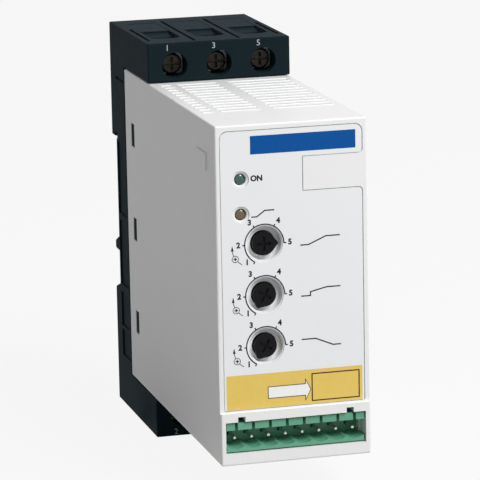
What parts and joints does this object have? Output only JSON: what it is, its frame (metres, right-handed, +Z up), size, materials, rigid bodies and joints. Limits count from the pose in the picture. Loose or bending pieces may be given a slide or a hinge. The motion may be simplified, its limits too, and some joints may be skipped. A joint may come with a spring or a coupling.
{
  "type": "soft starter",
  "caption": "Compact soft starter for a mounting rail: a white louvred cover on a black base with screw terminals, adjusting knobs and a plug-in control header.",
  "frame": {"origin": "middle of the 35 mm rail, on the plane that the rail's back lies on", "axes": "+X to the right seen from the front, +Y back towards the rail, +Z up"},
  "size_m": [0.0454, 0.131, 0.124],
  "materials": {
    "base_black": "moulded, faint bluish black",
    "cover_white": "moulded, fine satin",
    "label_film": "satin printed film",
    "knob_black": "moulded",
    "header_green": "moulded",
    "lamp_green": "clear tinted",
    "lamp_amber": "clear tinted",
    "nickel": "nickel plated",
    "tinned_copper": "tin plated",
    "spring_steel": "bright wire",
    "board_green": "lacquered laminate",
    "aluminium": "extruded",
    "moulding_grey": "moulding compound",
    "relay_blue": "moulded case"
  },
  "bodies": {
    "housing": {"rear_base": "base_black", "front_cover": "cover_white", "front_label": "label_film", "power_lamp": "lamp_green", "run_lamp": "lamp_amber", "start_time_pot": "moulding_grey", "start_level_pot": "moulding_grey", "stop_time_pot": "moulding_grey", "control_header": "header_green", "header_pin_1": "tinned_copper", "header_pin_2": "tinned_copper", "header_pin_3": "tinned_copper", "header_pin_4": "tinned_copper", "header_pin_5": "tinned_copper", "header_pin_6": "tinned_copper", "header_pin_7": "tinned_copper", "header_pin_8": "tinned_copper", "terminal_strip_1": "tinned_copper", "terminal_strip_2": "tinned_copper", "terminal_strip_3": "tinned_copper", "terminal_strip_4": "tinned_copper", "terminal_strip_5": "tinned_copper", "terminal_strip_6": "tinned_copper", "latch_spring": "spring_steel", "control_board": "board_green", "power_board": "board_green", "driver_board": "board_green", "thyristor_module_1": "moulding_grey", "thyristor_module_2": "moulding_grey", "bypass_relay_1": "relay_blue", "bypass_relay_2": "relay_blue", "heatsink": "aluminium", "supply_transformer": "moulding_grey", "supply_capacitor_1": "relay_blue", "supply_capacitor_2": "relay_blue"},
    "start_time_knob": {"start_time_knob": "knob_black"},
    "start_level_knob": {"start_level_knob": "knob_black"},
    "stop_time_knob": {"stop_time_knob": "knob_black"},
    "rail_latch": {"rail_latch": "base_black"},
    "clamp_1": {"terminal_clamp_1": "nickel"},
    "screw_1": {"terminal_screw_1": "nickel"},
    "clamp_2": {"terminal_clamp_2": "nickel"},
    "screw_2": {"terminal_screw_2": "nickel"},
    "clamp_3": {"terminal_clamp_3": "nickel"},
    "screw_3": {"terminal_screw_3": "nickel"},
    "clamp_4": {"terminal_clamp_4": "nickel"},
    "screw_4": {"terminal_screw_4": "nickel"},
    "clamp_5": {"terminal_clamp_5": "nickel"},
    "screw_5": {"terminal_screw_5": "nickel"},
    "clamp_6": {"terminal_clamp_6": "nickel"},
    "screw_6": {"terminal_screw_6": "nickel"}
  },
  "joints": [
    {"name": "start_time_turn", "type": "hinge", "parent": "housing", "child": "start_time_knob", "pos_m": [-0.0084, -0.1234, 0.00565], "axis": [0, -1, 0], "range_deg": [0, 240]},
    {"name": "start_level_turn", "type": "hinge", "parent": "housing", "child": "start_level_knob", "pos_m": [-0.0084, -0.1234, -0.00935], "axis": [0, -1, 0], "range_deg": [-240, 0]},
    {"name": "stop_time_turn", "type": "hinge", "parent": "housing", "child": "stop_time_knob", "pos_m": [-0.0084, -0.1234, -0.02435], "axis": [0, -1, 0], "range_deg": [-240, 0]},
    {"name": "latch_slide", "type": "slide", "parent": "housing", "child": "rail_latch", "axis": [0, 0, -1], "range_m": [0, 0.003], "stiffness_N_per_m": 500, "springref_m": -0.004, "deforming": ["latch_spring"]},
    {"name": "clamp_1_slide", "type": "slide", "parent": "housing", "child": "clamp_1", "axis": [0, 1, 0], "range_m": [0, 0.0052]},
    {"name": "screw_1_turn", "type": "hinge", "parent": "clamp_1", "child": "screw_1", "pos_m": [-0.014, -0.0415, 0.0458], "axis": [0, 1, 0], "range_deg": [0, 2676]},
    {"name": "clamp_3_slide", "type": "slide", "parent": "housing", "child": "clamp_3", "axis": [0, 1, 0], "range_m": [0, 0.0052]},
    {"name": "screw_3_turn", "type": "hinge", "parent": "clamp_3", "child": "screw_3", "pos_m": [0, -0.0415, 0.0458], "axis": [0, 1, 0], "range_deg": [0, 2676]},
    {"name": "clamp_5_slide", "type": "slide", "parent": "housing", "child": "clamp_5", "axis": [0, 1, 0], "range_m": [0, 0.0052]},
    {"name": "screw_5_turn", "type": "hinge", "parent": "clamp_5", "child": "screw_5", "pos_m": [0.014, -0.0415, 0.0458], "axis": [0, 1, 0], "range_deg": [0, 2676]},
    {"name": "clamp_2_slide", "type": "slide", "parent": "housing", "child": "clamp_2", "axis": [0, 1, 0], "range_m": [0, 0.0052]},
    {"name": "screw_2_turn", "type": "hinge", "parent": "clamp_2", "child": "screw_2", "pos_m": [-0.014, -0.0415, -0.064], "axis": [0, 1, 0], "range_deg": [0, 2676]},
    {"name": "clamp_4_slide", "type": "slide", "parent": "housing", "child": "clamp_4", "axis": [0, 1, 0], "range_m": [0, 0.0052]},
    {"name": "screw_4_turn", "type": "hinge", "parent": "clamp_4", "child": "screw_4", "pos_m": [0, -0.0415, -0.064], "axis": [0, 1, 0], "range_deg": [0, 2676]},
    {"name": "clamp_6_slide", "type": "slide", "parent": "housing", "child": "clamp_6", "axis": [0, 1, 0], "range_m": [0, 0.0052]},
    {"name": "screw_6_turn", "type": "hinge", "parent": "clamp_6", "child": "screw_6", "pos_m": [0.014, -0.0415, -0.064], "axis": [0, 1, 0], "range_deg": [0, 2676]}
  ],
  "couplings": [
    {"joint": "screw_1_turn", "follows": "clamp_1_slide", "rad_per_m": 8976},
    {"joint": "screw_3_turn", "follows": "clamp_3_slide", "rad_per_m": 8976},
    {"joint": "screw_5_turn", "follows": "clamp_5_slide", "rad_per_m": 8976},
    {"joint": "screw_2_turn", "follows": "clamp_2_slide", "rad_per_m": 8976},
    {"joint": "screw_4_turn", "follows": "clamp_4_slide", "rad_per_m": 8976},
    {"joint": "screw_6_turn", "follows": "clamp_6_slide", "rad_per_m": 8976}
  ]
}
